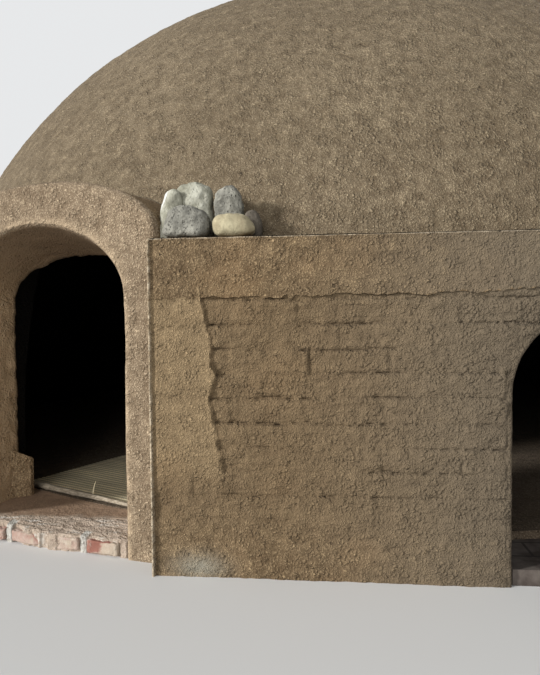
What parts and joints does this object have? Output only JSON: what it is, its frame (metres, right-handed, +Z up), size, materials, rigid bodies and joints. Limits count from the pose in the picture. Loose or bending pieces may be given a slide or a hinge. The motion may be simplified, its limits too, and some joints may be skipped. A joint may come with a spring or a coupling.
{
  "type": "temazcal",
  "caption": "Masonry sweat lodge: a hollow plastered dome with a hooded doorway, brick step and sill, and a plastered bench beside it with the arched mouth of the firebox.",
  "frame": {"origin": "centre of the dome on the ground, on the underside of the floor slab", "axes": "+Z up, +Y from the bench's face into the lodge, +X to the right along the bench's face"},
  "size_m": [6.9, 6.9499, 3.6],
  "materials": {
    "dome_plaster": "coarse sandy mud plaster, matt, with trowel marks",
    "door_plaster": "mud plaster, matt, smoother than the dome",
    "bench_plaster": "mud plaster, matt, with brick courses showing through",
    "sill_plaster": "smooth brown mud plaster, worn",
    "floor_earth": "rammed earth, matt",
    "hearth_brick": "sooty fired brick",
    "step_brick": "faded red fired brick",
    "step_mortar": "rough grey-brown mortar",
    "pole_wood": "weathered bare stick",
    "palm_mat": "woven palm strips",
    "ochre_stone": "smooth river stone",
    "grey_stone": "rough broken stone"
  },
  "bodies": {
    "root": {"bench_left_mass": "bench_plaster", "bench_right_pier": "bench_plaster", "crown_cap": "dome_plaster", "door_arch": "door_plaster", "door_left_pier": "door_plaster", "door_right_pier": "door_plaster", "door_sill": "sill_plaster", "fire_hearth": "hearth_brick", "fire_mouth_arch": "bench_plaster", "floor_mat": "palm_mat", "floor_slab": "floor_earth", "jamb_stub": "door_plaster", "shelf_cap": "bench_plaster", "shelf_stone_brown": "ochre_stone", "shelf_stone_green": "grey_stone", "shelf_stone_grey": "grey_stone", "shelf_stone_ochre": "ochre_stone", "shelf_stone_pale": "grey_stone", "shelf_stone_porous": "grey_stone", "shoulder_segment_1": "dome_plaster", "shoulder_segment_2": "dome_plaster", "shoulder_segment_3": "dome_plaster", "shoulder_segment_4": "dome_plaster", "shoulder_segment_5": "dome_plaster", "shoulder_segment_6": "dome_plaster", "shoulder_segment_7": "dome_plaster", "sill_pole": "pole_wood", "step_bricks": "step_brick", "step_mortar": "step_mortar", "upper_segment_1": "dome_plaster", "upper_segment_2": "dome_plaster", "upper_segment_3": "dome_plaster", "upper_segment_4": "dome_plaster", "upper_segment_5": "dome_plaster", "wall_segment_1": "dome_plaster", "wall_segment_2": "dome_plaster", "wall_segment_3": "dome_plaster", "wall_segment_4": "dome_plaster", "wall_segment_5": "dome_plaster", "wall_segment_6": "dome_plaster", "wall_segment_7": "dome_plaster"}
  },
  "joints": []
}
